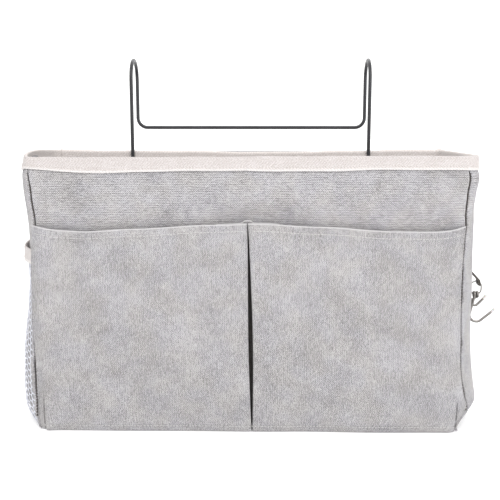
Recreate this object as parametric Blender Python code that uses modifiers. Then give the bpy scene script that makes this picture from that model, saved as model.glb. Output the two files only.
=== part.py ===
"""Hanging pocket organizer: a box-shaped canvas pouch on a bent wire hanger.

The pouch is sewn from panels, with a stiffener board in its back and in its base, a tape-bound mouth,
a pleated double pocket in front, a net pocket on its left end and a pair of small hooks on its right.
The wire hanger turns in a sewn casing inside the back.

Metres, +Z up, +X to the right and +Y to the back, with the origin under the middle of the base.
"""

import math

import bmesh
import bpy
from mathutils import Matrix, Vector

# Pouch
WIDTH = 0.390
DEPTH = 0.114
HEIGHT = 0.255
BELLY_TOP = 0.018  # the end panels belly out this far at the mouth
BELLY_FOOT = {"left": 0.015, "right": 0.023}  # and this far near the base
FOOT_CURL = 0.022  # radius over which an end panel curls in under the pouch
CLOTH = 0.0015
LINING = 0.0012
BOARD = 0.0020
BOARD_CLEAR = 0.003  # from the back board's top edge to the binding
GAP = 0.0003  # between pieces that lie against each other
OVERCUT = 0.002  # how far a cutting shape reaches past the surface it opens

# Binding tape round the mouth
TAPE = 0.0008
TAPE_FOLD = 0.0135  # how far each half of the folded tape reaches down
END_SLANT = 1.3  # a bellied end wall's thickness along X, in its own thicknesses, where it slants most

# Front pocket
POCKET_TOP = 0.193
POCKET_STAND = 0.008  # how far its face stands off the front panel
POCKET_INSET = 0.003
POCKET_FOOT = 0.001
PLEAT_GAP = 0.003

# Net pocket on the left end
NET_TOP = 0.170
NET_STAND = 0.009
NET_HALF = 0.048  # half its width along Y
NET_FIRST = 0.12  # of the way up the end panel, where its lower edge is sewn
NET_EDGE = 0.0028  # how far its sewn edges stand off the end panel, along X
NET_TAPE_FOLD = 0.014
NET_SEAM = 0.001  # how much shorter its tape is than the net, at each end
NET_SLANT = 1.1  # the net's thickness along X, in its own thicknesses
NET_FILL = 0.3  # share of the way up over which the net swells to its full stand

# Wire hanger
WIRE = 0.0036
LEG_SPACING = 0.238
HOOK_TOP = 0.345  # of the wire's centre line
HOOK_SPAN = 0.0405  # from the front leg to the back one
LEG_CLEAR = 0.0043  # from the back lining's face to the middle of the front legs
BACK_BAR_Z = 0.277
CASING_Z = 0.170
BACK_BEND = 0.010
FOOT_BEND = 0.009
FOOT_END_X = 0.015  # each foot of the wire ends this far from the middle
CASING_LENGTH = 0.200
CASING_BORE = 0.0048
CASING_HEM = 0.014  # seam allowance above and below the wire

# Tab, link and hooks on the right end
TAB_Y = 0.014
TAB_WIDTH = 0.010
TAB_TOP = 0.1538
TAB_FOOT = 0.1243
TAB_BEND = 0.012  # below its top, where it starts to lean out
TAB_SLOPE = 0.004  # how much lower its inner face starts to lean out
TAB_END = 0.0027  # radius of its round lower end
TAB_HOLE = 0.0040
LINK_X = 0.2243
LINK_TOP = 0.1283  # centre lines of its upper and lower ends
LINK_FOOT = 0.1148
LINK_HALF = 0.0052
LINK_WIRE = 0.0014
KEY_WIRE = 0.0023
EYE_RADIUS = 0.00235
EYE_OFFSET = 0.0015
TIP_BALL = 0.0038
TIP_SOCKET = 0.004  # how deep the wire sits in its ball
TIP_PROUD = 0.0004  # from the wire's end to the ball's middle

FRONT = -DEPTH / 2  # outer faces of the pouch
BACK = DEPTH / 2
SIDE = WIDTH / 2
BACK_INNER = BACK - CLOTH - BOARD - LINING - 2 * GAP
LEG_Y = BACK_INNER - LEG_CLEAR
WALL_FOOT = CLOTH + GAP
WALL_TOP = HEIGHT - TAPE - GAP
FLOOR_TOP = CLOTH + BOARD + LINING + 2 * GAP

for old in list(bpy.data.objects):
    bpy.data.objects.remove(old)

organizer = bpy.data.collections.new("hanging_organizer")
cutters = bpy.data.collections.new("cutters")
bpy.context.scene.collection.children.link(organizer)
bpy.context.scene.collection.children.link(cutters)


def material(name, colour, roughness, metallic=0.0):
    made = bpy.data.materials.new(name)
    made.use_nodes = True
    shader = made.node_tree.nodes["Principled BSDF"]
    shader.inputs["Base Color"].default_value = (*colour, 1.0)
    shader.inputs["Roughness"].default_value = roughness
    shader.inputs["Metallic"].default_value = metallic
    return made


CANVAS = material("grey_canvas", (0.52, 0.51, 0.52), 0.95)
TAPE_CLOTH = material("cream_tape", (0.84, 0.79, 0.76), 0.95)
BOARD_STUFF = material("stiffener_board", (0.80, 0.78, 0.72), 0.80)
NET = material("white_net", (0.86, 0.86, 0.90), 0.70)
BLACK_WIRE = material("black_wire", (0.02, 0.02, 0.022), 0.35, 0.6)
WEBBING = material("dark_webbing", (0.10, 0.09, 0.08), 0.85)
NICKEL = material("nickel", (0.62, 0.60, 0.57), 0.28, 1.0)
TIP_PLASTIC = material("white_tip", (0.90, 0.90, 0.90), 0.35)

UPRIGHT_ACROSS = Matrix(((0, 0, 1, 0), (1, 0, 0, 0), (0, 1, 0, 0), (0, 0, 0, 1)))  # drawn in Y and Z
UPRIGHT_ALONG = Matrix(((1, 0, 0, 0), (0, 0, -1, 0), (0, 1, 0, 0), (0, 0, 0, 1)))  # drawn in X and Z


def put(obj, stuff, collection=organizer):
    obj.data.materials.append(stuff)
    collection.objects.link(obj)
    return obj


def box(name, low, high, stuff, collection=organizer):
    """A block between two corners."""
    low, high = Vector(low), Vector(high)
    mesh = bpy.data.meshes.new(name)
    form = bmesh.new()
    bmesh.ops.create_cube(form, size=1.0)
    bmesh.ops.scale(form, vec=high - low, verts=form.verts)
    form.to_mesh(mesh)
    form.free()
    obj = bpy.data.objects.new(name, mesh)
    obj.location = (low + high) / 2
    return put(obj, stuff, collection)


def plate(name, outlines, low, high, stuff, turn=None, collection=organizer):
    """A flat shape between two levels. The first outline is its edge and any others are holes in it."""
    data = bpy.data.curves.new(name, "CURVE")
    data.dimensions = "2D"
    data.fill_mode = "BOTH"
    data.extrude = (high - low) / 2
    for outline in outlines:
        spline = data.splines.new("POLY")
        spline.points.add(len(outline) - 1)
        for point, (across, up) in zip(spline.points, outline):
            point.co = (across, up, 0.0, 1.0)
        spline.use_cyclic_u = True
    obj = bpy.data.objects.new(name, data)
    place = Matrix.Translation((0, 0, (low + high) / 2))
    obj.matrix_world = (turn or Matrix.Identity(4)) @ place
    return put(obj, stuff, collection)


def rod(name, points, thickness, stuff, closed=False, collection=organizer, pivot=(0, 0, 0)):
    """A round wire along a line of points. pivot is the object's origin, on a moving piece's axis."""
    data = bpy.data.curves.new(name, "CURVE")
    data.dimensions = "3D"
    data.bevel_depth = thickness / 2
    data.bevel_resolution = 3
    data.use_fill_caps = not closed
    spline = data.splines.new("POLY")
    spline.points.add(len(points) - 1)
    for point, where in zip(spline.points, points):
        point.co = (*(Vector(where) - Vector(pivot)), 1.0)
    spline.use_cyclic_u = closed
    obj = bpy.data.objects.new(name, data)
    obj.location = pivot
    return put(obj, stuff, collection)


def as_mesh(curve_object):
    """The same piece as a mesh with its caps welded, so that it can be cut or joined."""
    bpy.context.view_layer.update()
    graph = bpy.context.evaluated_depsgraph_get()
    mesh = bpy.data.meshes.new_from_object(curve_object.evaluated_get(graph))
    form = bmesh.new()
    form.from_mesh(mesh)
    bmesh.ops.remove_doubles(form, verts=form.verts, dist=1e-6)
    bmesh.ops.recalc_face_normals(form, faces=form.faces)
    form.to_mesh(mesh)
    form.free()
    name, place = curve_object.name, curve_object.matrix_world.copy()
    homes = list(curve_object.users_collection)
    bpy.data.objects.remove(curve_object)
    obj = bpy.data.objects.new(name, mesh)
    obj.matrix_world = place
    for home in homes:
        home.objects.link(obj)
    return obj


def combine(obj, other, operation):
    """Cuts other from obj, or joins it on. other becomes a hidden helper."""
    other.hide_render = True
    other.display_type = "WIRE"
    step = obj.modifiers.new(operation.lower(), "BOOLEAN")
    step.operation = operation
    step.solver = "EXACT"
    step.object = other


def arc(centre, radius, start, end, steps):
    """Points on an arc in a plane, from one angle to another in degrees."""
    angles = [math.radians(start + (end - start) * i / steps) for i in range(steps + 1)]
    return [(centre[0] + radius * math.cos(a), centre[1] + radius * math.sin(a)) for a in angles]


def belly(side, y, z):
    """How far the pouch's end stands out beyond the front panel's edge, without the curl at its foot."""
    share = min(z / (HEIGHT - 1.5 * TAPE_FOLD), 1.0)
    most = BELLY_FOOT[side] + (BELLY_TOP - BELLY_FOOT[side]) * share
    across = max(-1.0, min(1.0, 2 * y / DEPTH))
    return most * (1 - across * across)


def no_stand(_y, _up):
    return 0.0


def end_shell(name, side, half, high, thickness, stuff, first=0.0, stand=no_stand):
    """A cloth wall on one end of the pouch, bellied and curled in at its foot.

    It starts at the share first of the way up, and stands off the end panel by stand(y, share of
    the way up).
    """
    curl_share = 0.35  # of the rows lie in the curl
    mesh = bpy.data.meshes.new(name)
    form = bmesh.new()
    bmesh.ops.create_grid(form, x_segments=14, y_segments=16, size=1.0)
    sign = 1 if side == "right" else -1
    for vert in form.verts:
        y = vert.co.x * half
        up = first + (1 - first) * (vert.co.y + 1) / 2
        turn = math.pi / 2 * min(up / curl_share, 1.0)
        rest = max(up - curl_share, 0.0) / (1 - curl_share)
        z = WALL_FOOT + FOOT_CURL * (1 - math.cos(turn)) + rest * (high - WALL_FOOT - FOOT_CURL)
        reach = SIDE + belly(side, y, z) * math.sin(turn) + stand(y, up)
        vert.co = (sign * reach, y, z)
    bmesh.ops.recalc_face_normals(form, faces=form.faces)
    facing = sum(face.normal.x for face in form.faces)
    if facing * sign < 0:
        bmesh.ops.reverse_faces(form, faces=form.faces)
    form.to_mesh(mesh)
    form.free()
    obj = put(bpy.data.objects.new(name, mesh), stuff)
    shell = obj.modifiers.new("thickness", "SOLIDIFY")
    shell.thickness = thickness
    shell.offset = -1.0
    return obj


def stations(low, high, steps=12):
    return [low + (high - low) * i / steps for i in range(steps + 1)]


def mouth_outline(front, back, half):
    """Plan of the pouch at its mouth between two depths, with its ends bellied out."""
    right = [(half + belly("right", y, HEIGHT), y) for y in stations(front, back)]
    return right + [(-x, y) for x, y in reversed(right)]


def sewn_panels():
    box("front_panel", (-SIDE, FRONT, WALL_FOOT), (SIDE, FRONT + CLOTH, WALL_TOP), CANVAS)
    box("back_panel", (-SIDE, BACK - CLOTH, WALL_FOOT), (SIDE, BACK, WALL_TOP), CANVAS)
    box("bottom_panel", (-SIDE, FRONT, 0.0), (SIDE, BACK, CLOTH), CANVAS)
    half = DEPTH / 2 - CLOTH - GAP
    end_shell("left_gusset", "left", half, WALL_TOP, CLOTH, CANVAS)
    end_shell("right_gusset", "right", half, WALL_TOP, CLOTH, CANVAS)


def stiffening():
    half = SIDE - CLOTH - 2 * GAP
    reach = DEPTH / 2 - CLOTH - 2 * GAP
    box("base_board", (-half, -reach, WALL_FOOT), (half, reach, WALL_FOOT + BOARD), BOARD_STUFF)
    box("bottom_lining", (-half, -reach, FLOOR_TOP - LINING), (half, reach, FLOOR_TOP), CANVAS)
    foot = FLOOR_TOP + GAP
    board_back = BACK - CLOTH - GAP
    board_top = HEIGHT - TAPE_FOLD - BOARD_CLEAR
    box("back_board", (-half, board_back - BOARD, foot), (half, board_back, board_top), BOARD_STUFF)
    box("back_lining", (-half, BACK_INNER, foot), (half, BACK_INNER + LINING, WALL_TOP), CANVAS)


def rim_binding():
    """One tape folded over the whole mouth: an outer half, an inner half and the fold along the top."""
    clear = TAPE + GAP
    outer = mouth_outline(FRONT - clear, BACK + clear, SIDE + clear)
    outer_inside = mouth_outline(FRONT - GAP, BACK + GAP, SIDE + GAP)
    end_inside = SIDE - END_SLANT * CLOTH
    inner_outside = mouth_outline(FRONT + CLOTH + GAP, BACK_INNER - GAP, end_inside - GAP)
    inner = mouth_outline(FRONT + CLOTH + clear, BACK_INNER - clear, end_inside - clear)
    foot = HEIGHT - TAPE_FOLD
    overlap = HEIGHT - TAPE / 2
    fold = as_mesh(plate("rim_binding", [outer, inner], HEIGHT - TAPE, HEIGHT, TAPE_CLOTH))
    halves = (("outer_half", outer, outer_inside), ("inner_half", inner_outside, inner))
    for name, edge, hole in halves:
        half = as_mesh(plate(name, [edge, hole], foot, overlap, TAPE_CLOTH, collection=cutters))
        combine(fold, half, "UNION")


def front_pocket():
    """One cloth over the lower front, folded back at the middle into an inverted pleat."""
    half = SIDE - POCKET_INSET
    back = FRONT - GAP
    face = back - POCKET_STAND
    cloth = box("front_pocket", (-half, face, POCKET_FOOT), (half, back, POCKET_TOP), CANVAS)
    near, far = PLEAT_GAP / 2 + LINING, half - LINING
    for side, name in ((-1, "left_room"), (1, "right_room")):
        xs = sorted((side * near, side * far))
        low = (xs[0], face + LINING, POCKET_FOOT + LINING)
        high = (xs[1], back + OVERCUT, POCKET_TOP + OVERCUT)
        combine(cloth, box(name, low, high, CANVAS, cutters), "DIFFERENCE")
    low = (-PLEAT_GAP / 2, face - OVERCUT, POCKET_FOOT - OVERCUT)
    high = (PLEAT_GAP / 2, back - LINING, POCKET_TOP + OVERCUT)
    combine(cloth, box("pleat", low, high, CANVAS, cutters), "DIFFERENCE")


def net_stand(y, up=1.0):
    """How far the net's outer face stands off the left end panel, along X."""
    swell = math.sin(math.pi / 2 * min(1.0, (up - NET_FIRST) / NET_FILL))
    return NET_EDGE + (NET_STAND - NET_EDGE) * math.cos(math.pi * y / (2 * NET_HALF)) * swell


def net_band(inner, outer, half):
    """Plan of a strip along the left end. inner and outer give its faces' distances from the middle."""
    depths = stations(-half, half)
    return [(-outer(y), y) for y in depths] + [(-inner(y), y) for y in reversed(depths)]


def net_panel_face(y):
    """The left end panel's outer face, as a distance from the middle, behind the net's tape."""
    return SIDE + belly("left", y, NET_TOP - NET_TAPE_FOLD / 2)


def net_outer(y):
    return net_panel_face(y) + net_stand(y)


def net_inner(y):
    return net_outer(y) - NET_SLANT * LINING


def net_tape_outer(y):
    return net_outer(y) + TAPE + GAP


def net_tape_inner(y):
    return max(net_inner(y) - TAPE - GAP, net_panel_face(y) + GAP)


def net_pocket():
    """A net over the left end with a folded tape on its mouth."""
    high = NET_TOP - TAPE - GAP
    end_shell("net_pocket", "left", NET_HALF, high, LINING, NET, NET_FIRST, net_stand)
    half_tape = net_band(net_tape_inner, net_tape_outer, NET_HALF - NET_SEAM)
    slot = net_band(lambda y: net_inner(y) - GAP, lambda y: net_outer(y) + GAP, NET_HALF)
    foot = NET_TOP - NET_TAPE_FOLD
    tape = as_mesh(plate("net_pocket_binding", [half_tape], foot, NET_TOP, TAPE_CLOTH))
    room = plate("tape_room", [slot], foot - OVERCUT, NET_TOP - TAPE, TAPE_CLOTH, collection=cutters)
    combine(tape, as_mesh(room), "DIFFERENCE")


def hanger():
    """One wire: foot, leg, hook over the rail, and the bar behind it, and the same again on the right."""
    leg = LEG_SPACING / 2
    back_y = LEG_Y + HOOK_SPAN
    crown = HOOK_SPAN / 2
    crown_z = HOOK_TOP - crown
    foot = [(-x, LEG_Y, z) for x, z in arc((leg - FOOT_BEND, CASING_Z + FOOT_BEND), FOOT_BEND, -90, 0, 6)]
    hook = [(-leg, y, z) for y, z in arc((LEG_Y + crown, crown_z), crown, 180, 0, 16)]
    bend = arc((leg - BACK_BEND, BACK_BAR_Z + BACK_BEND), BACK_BEND, 0, -90, 6)
    corner = [(-x, back_y, z) for x, z in bend]
    left = [(-FOOT_END_X, LEG_Y, CASING_Z)] + foot + hook + corner
    right = [(-x, y, z) for x, y, z in reversed(left)]
    rod("hanger_frame", left + right, WIRE, BLACK_WIRE, pivot=(0, LEG_Y, CASING_Z))


def hanger_casing():
    """A strip of cloth stitched above and below the hanger's feet: two hems and a round tunnel."""
    wall = CASING_BORE / 2 + LINING
    behind = BACK_INNER - GAP
    hem = behind - LINING
    lean = math.degrees(math.acos((hem - LEG_Y) / wall))
    tunnel = arc((LEG_Y, CASING_Z), wall, lean, 360 - lean, 16)
    ends = [(behind, CASING_Z - CASING_HEM), (behind, CASING_Z + CASING_HEM), (hem, CASING_Z + CASING_HEM)]
    outline = ends + tunnel + [(hem, CASING_Z - CASING_HEM)]
    bore = arc((LEG_Y, CASING_Z), CASING_BORE / 2, 0, 345, 23)
    half = CASING_LENGTH / 2
    plate("hanger_casing", [outline, bore], -half, half, CANVAS, turn=UPRIGHT_ACROSS)


def side_tab():
    """A stiff tab sewn flat to the right end at its top, leaning out to its hole for the link."""
    panel = SIDE + belly("right", TAB_Y - TAB_WIDTH / 2, TAB_TOP) + GAP
    bend = TAB_TOP - TAB_BEND
    lowest = arc((LINK_X, TAB_FOOT + TAB_END), TAB_END, 0, -180, 8)
    flat = [(panel, TAB_TOP), (panel + LINING, TAB_TOP), (panel + LINING, bend)]
    outline = flat + lowest + [(panel, bend - TAB_SLOPE)]
    half = TAB_WIDTH / 2
    tab = as_mesh(plate("side_tab", [outline], -TAB_Y - half, -TAB_Y + half, WEBBING, turn=UPRIGHT_ALONG))
    circle = arc((TAB_Y, LINK_TOP - GAP), TAB_HOLE / 2, 0, 345, 23)
    reach = LINK_X - TAB_WIDTH, LINK_X + TAB_WIDTH
    hole = plate("tab_hole", [circle], *reach, WEBBING, UPRIGHT_ACROSS, cutters)
    combine(tab, as_mesh(hole), "DIFFERENCE")


def link():
    """A long oval of wire through the tab's hole, facing front and back."""
    upper, lower = LINK_TOP - LINK_HALF, LINK_FOOT + LINK_HALF
    loop = arc((LINK_X, upper), LINK_HALF, 0, 180, 14) + arc((LINK_X, lower), LINK_HALF, 180, 360, 14)
    line = [(x, TAB_Y, z) for x, z in loop]
    rod("link_ring", line, LINK_WIRE, NICKEL, closed=True, pivot=(LINK_X, TAB_Y, LINK_TOP))


def key_hook(name, side, drop, shank, lean, bend, rise, arm):
    """A J of wire that hangs by its eye from the foot of the link, and the ball on its end.

    side puts the eye to one side of the link's middle and the shank before or behind it. The shank drops
    straight and then leans in by lean degrees, and the arm rises outwards at rise degrees.
    """
    eye = Vector((LINK_X + side * EYE_OFFSET, TAB_Y, LINK_FOOT))
    curl = arc((0, 0), EYE_RADIUS, 255, 0, 14)
    points = [eye + Vector((0, side * y, z)) for y, z in curl]
    tilt = math.radians(lean)
    start = Vector((-shank * math.sin(tilt), -drop - shank * math.cos(tilt)))
    centre = start + bend * Vector((math.cos(tilt), -math.sin(tilt)))
    turn = arc(centre, bend, 180 - lean, 270 + rise, 12)
    heading = Vector((math.cos(math.radians(rise)), 0, math.sin(math.radians(rise))))
    shank_top = eye + Vector((0, side * EYE_RADIUS, 0))
    points += [shank_top + Vector((x, 0, z)) for x, z in [(0, -drop)] + turn]
    end = points[-1] + arm * heading
    hook = rod(name, points + [end], KEY_WIRE, NICKEL, pivot=eye)

    mesh = bpy.data.meshes.new(name + "_tip")
    form = bmesh.new()
    bmesh.ops.create_uvsphere(form, u_segments=20, v_segments=12, radius=TIP_BALL / 2)
    form.to_mesh(mesh)
    form.free()
    ball = bpy.data.objects.new(name + "_tip", mesh)
    ball.parent = hook
    ball.location = end + TIP_PROUD * heading - eye
    put(ball, TIP_PLASTIC)
    stub = [end - TIP_SOCKET * heading, end + GAP * heading]
    socket = as_mesh(rod(name + "_socket", stub, KEY_WIRE + 2 * GAP, NICKEL, collection=cutters))
    combine(ball, socket, "DIFFERENCE")


sewn_panels()
stiffening()
rim_binding()
front_pocket()
net_pocket()
hanger()
hanger_casing()
side_tab()
link()
key_hook("long_hook", side=-1, drop=0.001, shank=0.0180, lean=13, bend=0.0070, rise=40, arm=0.0160)
key_hook("short_hook", side=1, drop=0.003, shank=0.0041, lean=55, bend=0.0035, rise=46, arm=0.0112)
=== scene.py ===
"""The looks of the hanging pocket organizer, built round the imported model.

Every cloth piece is a thin closed shell over a grid of points. A grid's rows and columns follow the cloth,
and its UV map, in metres of cloth, carries the weave. Lengths are in metres unless a comment says otherwise.
"""

import math

import bpy
import numpy as np
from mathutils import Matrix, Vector


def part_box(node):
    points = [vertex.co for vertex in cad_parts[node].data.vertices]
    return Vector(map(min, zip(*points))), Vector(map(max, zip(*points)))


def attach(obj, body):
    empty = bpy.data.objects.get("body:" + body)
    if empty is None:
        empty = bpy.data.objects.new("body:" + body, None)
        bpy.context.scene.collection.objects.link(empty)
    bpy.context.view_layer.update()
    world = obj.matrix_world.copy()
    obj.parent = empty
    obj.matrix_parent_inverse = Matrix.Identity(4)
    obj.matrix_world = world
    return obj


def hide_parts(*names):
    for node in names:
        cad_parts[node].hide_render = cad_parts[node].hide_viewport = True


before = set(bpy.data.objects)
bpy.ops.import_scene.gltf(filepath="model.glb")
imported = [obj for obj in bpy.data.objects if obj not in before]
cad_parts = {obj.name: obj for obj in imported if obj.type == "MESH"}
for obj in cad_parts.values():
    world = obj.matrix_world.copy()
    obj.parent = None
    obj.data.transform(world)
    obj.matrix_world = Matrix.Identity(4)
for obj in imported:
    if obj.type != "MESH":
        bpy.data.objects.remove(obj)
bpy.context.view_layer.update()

# Places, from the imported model
FRONT_LOW, FRONT_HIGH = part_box("front_panel")
BACK_LOW, BACK_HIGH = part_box("back_panel")
LINING_LOW, LINING_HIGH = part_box("back_lining")
RIM_LOW, RIM_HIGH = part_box("rim_binding")
NET_TAPE_LOW, NET_TAPE_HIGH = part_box("net_pocket_binding")
FLOOR_LOW, FLOOR_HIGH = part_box("bottom_lining")
WIRE_LOW, WIRE_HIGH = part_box("hanger_frame")
CASING_LOW, CASING_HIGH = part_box("hanger_casing")
TAB_LOW, TAB_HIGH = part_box("side_tab")
RING_LOW, RING_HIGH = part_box("link_ring")
POCKET_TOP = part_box("front_pocket")[1][2]
NET_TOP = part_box("net_pocket")[1][2]

SIDE = FRONT_HIGH[0]
FRONT = FRONT_LOW[1]
BACK = BACK_HIGH[1]
DEPTH = BACK - FRONT
TOP = RIM_HIGH[2]
WALL_TOP = FRONT_HIGH[2]
TAPE_FOLD = RIM_HIGH[2] - RIM_LOW[2]
TAPE_FOOT = TOP - TAPE_FOLD

# Thicknesses of cloth
CLOTH = 0.0013
LINING = 0.0009
THIN_CLOTH = 0.0007

# The corner seams: a rolled edge's radius, how deep edges turn in, the slit between two, and their place
SEAM_ROLL = 0.0012
SEAM_DEEP = 0.0075
SLIT = 0.0011
SEAM_HALF = DEPTH / 2 - SEAM_ROLL - 0.0004
FOOT_CURL = {"left": 0.020, "right": 0.024}

# Wires: the hanger's radius and where its legs stand, and the diameters and places of the link and key hooks
WIRE_RADIUS = 0.0018
LEG_Y = WIRE_LOW[1] + WIRE_RADIUS
LINK_WIRE, KEY_WIRE = 0.0014, 0.0026
LINK_X, LINK_Y = (RING_LOW[0] + RING_HIGH[0]) / 2, (RING_LOW[1] + RING_HIGH[1]) / 2
LINK_TOP, LINK_FOOT = RING_HIGH[2] - LINK_WIRE / 2, RING_LOW[2] + LINK_WIRE / 2

# Off the cloth of the front, which faces along -Y
FORWARD = (0.0, -1.0, 0.0)


# ---- helpers for shapes


def ramp(value, low, high):
    """0 below low, 1 above high, and a smooth rise between."""
    t = np.clip((value - low) / (high - low), 0.0, 1.0)
    return t * t * (3 - 2 * t)


def hump(value, centre, width):
    """1 at the centre, falling smoothly to 0 over about twice the width."""
    return np.exp(-(((value - centre) / width) ** 2))


def waves(u, v, seed, length, count=7):
    """Smooth random waves between about -1 and 1, of about the given length."""
    r = np.random.default_rng(seed)
    total = np.zeros_like(u)
    for _ in range(count):
        angle, phase = r.uniform(0, 2 * math.pi, 2)
        rate = 2 * math.pi / (length * r.uniform(0.7, 1.5))
        total += np.sin(rate * (u * math.cos(angle) + v * math.sin(angle)) + phase)
    return total / count**0.5 / 1.6


def through(value, pairs):
    """A smooth curve through a few (place, size) pairs."""
    at, size = np.array(pairs, float).T
    slope = np.gradient(size, at)
    value = np.clip(value, at[0], at[-1])
    i = np.clip(np.searchsorted(at, value) - 1, 0, len(at) - 2)
    step = at[i + 1] - at[i]
    t = (value - at[i]) / step
    rise = (3 - 2 * t) * t * t
    lean = t * (1 - t) * step
    return size[i] * (1 - rise) + size[i + 1] * rise + lean * ((1 - t) * slope[i] - t * slope[i + 1])


def grid_normals(points, closed):
    """Unit normals of a grid of points, whose columns may close on themselves."""
    if closed:
        wide = np.concatenate([points[:, -1:], points, points[:, :1]], axis=1)
        along = (wide[:, 2:] - wide[:, :-2]) / 2
    else:
        along = np.gradient(points, axis=1)
    up = np.gradient(points, axis=0)
    normal = np.cross(along, up)
    return normal / np.maximum(np.linalg.norm(normal, axis=2, keepdims=True), 1e-12)


def put(name, data):
    obj = bpy.data.objects.new(name, data)
    bpy.context.scene.collection.objects.link(obj)
    return obj


def mesh_object(name, verts, faces, corners, material):
    """A smooth mesh in the scene; corners holds the UV place of every face's corner, or None."""
    mesh = bpy.data.meshes.new(name)
    mesh.from_pydata([tuple(v) for v in verts], [], faces)
    if corners is not None:
        layer = mesh.uv_layers.new(name="cloth")
        layer.data.foreach_set("uv", np.asarray(corners, np.float32).ravel())
    mesh.polygons.foreach_set("use_smooth", [True] * len(mesh.polygons))
    mesh.validate()
    mesh.materials.append(material)
    return put(name, mesh)


def seat(piece, body, node=None):
    """Puts a piece on its body, and in the place of a node of the plain model."""
    if node:
        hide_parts(node)
    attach(piece, body)


def cloth_uv(across, up):
    """A grid's UV places, from the places of its columns and its rows in metres of cloth."""
    return joined(*np.meshgrid(across, up))


def shell(name, points, thickness, uv, material, closed=False, flip=False):
    """A closed thin shell whose outer face is the grid points[row, column], with its inside behind it.

    uv has one more column than points where the grid closes on itself.
    """
    rows, columns = points.shape[:2]
    normal = grid_normals(points, closed) * (-1 if flip else 1)
    thick = np.broadcast_to(np.asarray(thickness, float), (rows, columns))[..., None]
    inside = points - normal * thick
    verts = np.concatenate([points.reshape(-1, 3), inside.reshape(-1, 3)])
    count = rows * columns
    faces, corners = [], []
    last = columns if closed else columns - 1

    def add(quad, where, back):
        if back != flip:
            quad, where = quad[::-1], where[::-1]
        faces.append(quad)
        corners.extend(uv[r, c] for r, c in where)

    for i in range(rows - 1):
        for j in range(last):
            k = (j + 1) % columns
            quad = (i * columns + j, i * columns + k, (i + 1) * columns + k, (i + 1) * columns + j)
            where = ((i, j), (i, j + 1), (i + 1, j + 1), (i + 1, j))
            add(quad, where, False)
            add(tuple(q + count for q in quad), where, True)
    for j in range(last):
        k = (j + 1) % columns
        low = (j, j + count, k + count, k)
        add(low, ((0, j), (0, j), (0, j + 1), (0, j + 1)), False)
        base = (rows - 1) * columns
        high = (base + k, base + k + count, base + j + count, base + j)
        add(high, ((-1, j + 1), (-1, j + 1), (-1, j), (-1, j)), False)
    if not closed:
        for i in range(rows - 1):
            a, b = i * columns, (i + 1) * columns
            add((b, b + count, a + count, a), ((i + 1, 0), (i + 1, 0), (i, 0), (i, 0)), False)
            a, b = a + columns - 1, b + columns - 1
            add((a, a + count, b + count, b), ((i, -1), (i, -1), (i + 1, -1), (i + 1, -1)), False)
    return mesh_object(name, verts, faces, corners, material)


def joined(*parts):
    """Coordinates side by side, with a single number or row repeated to fill its share."""
    return np.stack(np.broadcast_arrays(*parts), axis=-1)


def lengths_along(line):
    """How far along a line of points each one is."""
    steps = np.linalg.norm(np.diff(line, axis=0), axis=1)
    return np.concatenate([[0.0], np.cumsum(steps)])


def from_middle(line):
    """How far along a line of points each one is, from the line's middle."""
    at = lengths_along(line)
    return at - at[-1] / 2


def arc(centre, radius, start, end, steps):
    """Points round a circle in the plane, between two angles in degrees."""
    angles = np.radians(np.linspace(start, end, steps + 1))
    return joined(centre[0] + radius * np.cos(angles), centre[1] + radius * np.sin(angles))


def spaced(line, count):
    """The same line with count points, evenly spread."""
    line = np.asarray(line, float)
    at = lengths_along(line)
    even = np.linspace(0, at[-1], count)
    return np.stack([np.interp(even, at, line[:, k]) for k in range(line.shape[1])], axis=1)


def tube(name, points, radius, material, closed=False, resolution=6):
    """A round wire along a line of points."""
    data = bpy.data.curves.new(name, "CURVE")
    data.dimensions = "3D"
    data.bevel_depth = radius
    data.bevel_resolution = resolution
    data.use_fill_caps = not closed
    spline = data.splines.new("POLY")
    spline.points.add(len(points) - 1)
    for point, where in zip(spline.points, points):
        point.co = (*where, 1.0)
    spline.use_cyclic_u = closed
    data.materials.append(material)
    return put(name, data)


def ring_faces(base, rings, around):
    """The faces of a closed solid made of rings of points, counted from base: its side, then its two ends."""
    faces = []
    for start in range(base, base + (rings - 1) * around, around):
        for s in range(around):
            a, b = start + s, start + (s + 1) % around
            faces.append((a, b, b + around, a + around))
    last = base + (rings - 1) * around
    return faces + [tuple(reversed(range(base, base + around))), tuple(range(last, last + around))]


def stitches(name, line, outward, material, radius=0.00036):
    """A sewn row on the pouch: short threads along a line of points.

    outward is the direction off the cloth, one for all the points or one for each.
    """
    step, length, sides = 0.0030, 0.0023, 6
    # Along one thread: each ring's place, girth and lift off the cloth
    rings = ((-0.5, 0.35, -0.6), (-0.3, 0.9, 0.15), (0.0, 1.0, 0.35), (0.3, 0.9, 0.15), (0.5, 0.35, -0.6))
    at = lengths_along(line)
    outward = np.broadcast_to(outward, line.shape)

    def read(values, place):
        return np.array([np.interp(place, at, values[:, k]) for k in range(3)])

    count = max(2, int(at[-1] / step))
    verts, faces = [], []
    for n in range(count):
        middle = (n + 0.5) * at[-1] / count
        here = read(line, middle)
        along = read(line, middle + length / 2) - read(line, middle - length / 2)
        along = along / max(np.linalg.norm(along), 1e-9)
        out = read(outward, middle)
        out -= along * (out @ along)
        out /= max(np.linalg.norm(out), 1e-9)
        across = np.cross(along, out)
        base = len(verts)
        for share, girth, lift in rings:
            centre = here + along * length * share + out * radius * lift
            for s in range(sides):
                turn = 2 * math.pi * s / sides
                verts.append(centre + radius * girth * (across * math.cos(turn) + out * math.sin(turn)))
        faces += ring_faces(base, len(rings), sides)
    seat(mesh_object(name, verts, faces, None, material), "pouch")


# ---- materials


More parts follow.
